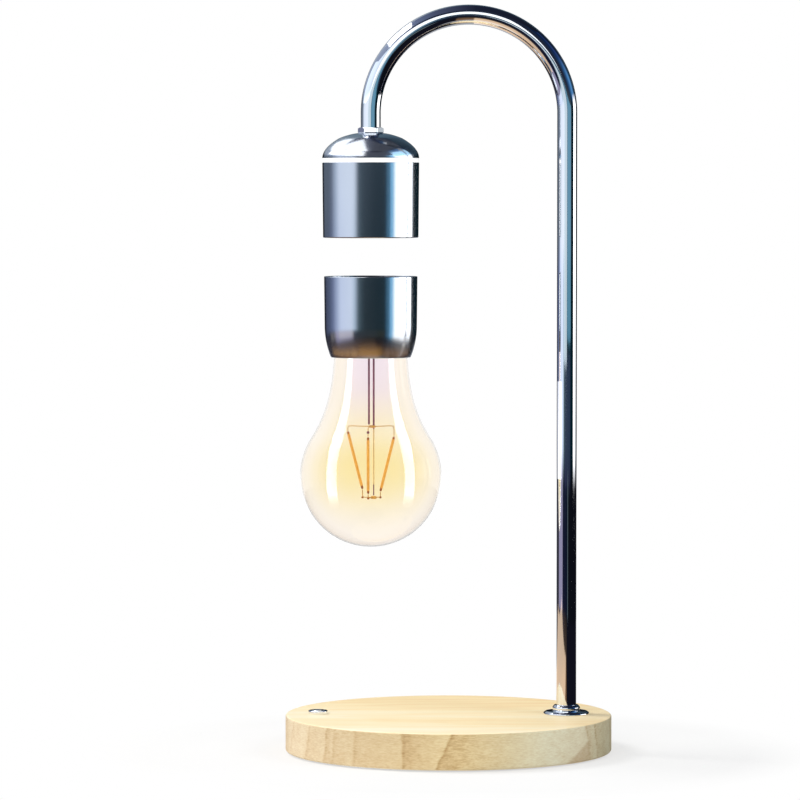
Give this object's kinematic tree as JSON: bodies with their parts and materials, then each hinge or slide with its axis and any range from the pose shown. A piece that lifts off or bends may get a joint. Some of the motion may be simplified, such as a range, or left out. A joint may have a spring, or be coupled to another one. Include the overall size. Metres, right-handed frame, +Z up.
{
  "type": "levitating bulb desk lamp",
  "caption": "Desk lamp with a round wooden base, a bent chrome tube and a metal head, under which a clear filament bulb in a metal cup floats in the air.",
  "frame": {"origin": "on the table, under the middle of the round base", "axes": "+Z up, +X towards the upright of the arm, the bulb hangs on the -X side, -Y towards the viewer of the picture, the power inlet faces +Y"},
  "size_m": [0.164, 0.164, 0.375],
  "materials": {
    "wood": "pale laminated wood, satin lacquer",
    "chrome": "mirror chrome",
    "satin_aluminium": "satin, blue-grey",
    "zinc_steel": "zinc plated",
    "black_plastic": "matt moulded",
    "white_plastic": "white, slightly translucent",
    "rubber": "matt",
    "circuit_board": "green solder mask",
    "copper": "enamelled copper wire",
    "ferrite": "sintered, matt",
    "iron": "machined soft iron",
    "magnet": "nickel plated",
    "cable_sheath": "matt sheath",
    "lead_wire": "drawn wire",
    "gold_wire": "drawn wire",
    "filament": "phosphor coated, glowing",
    "clear_glass": "clear, polished"
  },
  "bodies": {
    "root": {"wood_base": "wood", "base_plate": "black_plastic", "base_screw_1": "zinc_steel", "base_screw_2": "zinc_steel", "base_screw_3": "zinc_steel", "foot_1": "rubber", "foot_2": "rubber", "foot_3": "rubber", "foot_4": "rubber", "main_board": "circuit_board", "board_screw_1": "zinc_steel", "board_screw_2": "zinc_steel", "power_inductor": "ferrite", "cable_connector": "white_plastic", "inlet_housing": "black_plastic", "inlet_pin": "zinc_steel", "inlet_ring": "chrome", "button_bezel": "chrome", "button_spring": "zinc_steel", "switch_body": "black_plastic", "switch_board": "circuit_board", "arm_tube": "chrome", "base_flange": "chrome", "flange_collar": "chrome", "tube_washer": "zinc_steel", "tube_nut": "zinc_steel", "lamp_cable": "cable_sheath", "head_collar_nut": "chrome", "head_inner_nut": "zinc_steel", "dome_cap": "satin_aluminium", "light_ring": "white_plastic", "head_shell": "satin_aluminium", "head_bottom_cover": "black_plastic", "head_board": "circuit_board", "head_screw_1": "zinc_steel", "head_screw_2": "zinc_steel", "coil_bracket": "zinc_steel", "coil_bobbin": "black_plastic", "coil_winding": "copper", "iron_core": "iron", "transmitter_coil": "copper", "ferrite_ring": "ferrite", "hall_sensor": "black_plastic"},
    "button": {"button_cap": "chrome", "switch_plunger": "white_plastic"},
    "magnet": {"float_magnet": "magnet"},
    "bulb": {"bulb_cup": "satin_aluminium", "cup_lid": "black_plastic", "magnet_holder": "black_plastic", "receiver_coil": "copper", "receiver_board": "circuit_board", "glass_envelope": "clear_glass", "glass_stem": "clear_glass", "top_lead_wire": "lead_wire", "bottom_lead_wire": "lead_wire", "filament_hanger": "gold_wire", "filament_hub": "gold_wire", "filament_left": "filament", "filament_right": "filament", "filament_front": "filament"}
  },
  "joints": [
    {"name": "button_press", "type": "slide", "parent": "root", "child": "button", "axis": [0, 0, -1], "range_m": [0, 0.001], "stiffness_N_per_m": 300, "springref_m": -0.0005, "deforming": ["button_spring"]},
    {"name": "bulb_float", "type": "slide", "parent": "root", "child": "magnet", "axis": [0, 0, 1], "range_m": [-0.08, 0.019], "stiffness_N_per_m": 150, "springref_m": 0.007},
    {"name": "bulb_spin", "type": "hinge", "parent": "magnet", "child": "bulb", "pos_m": [-0.03905, 0, 0.2], "axis": [0, 0, 1], "continuous": true}
  ]
}
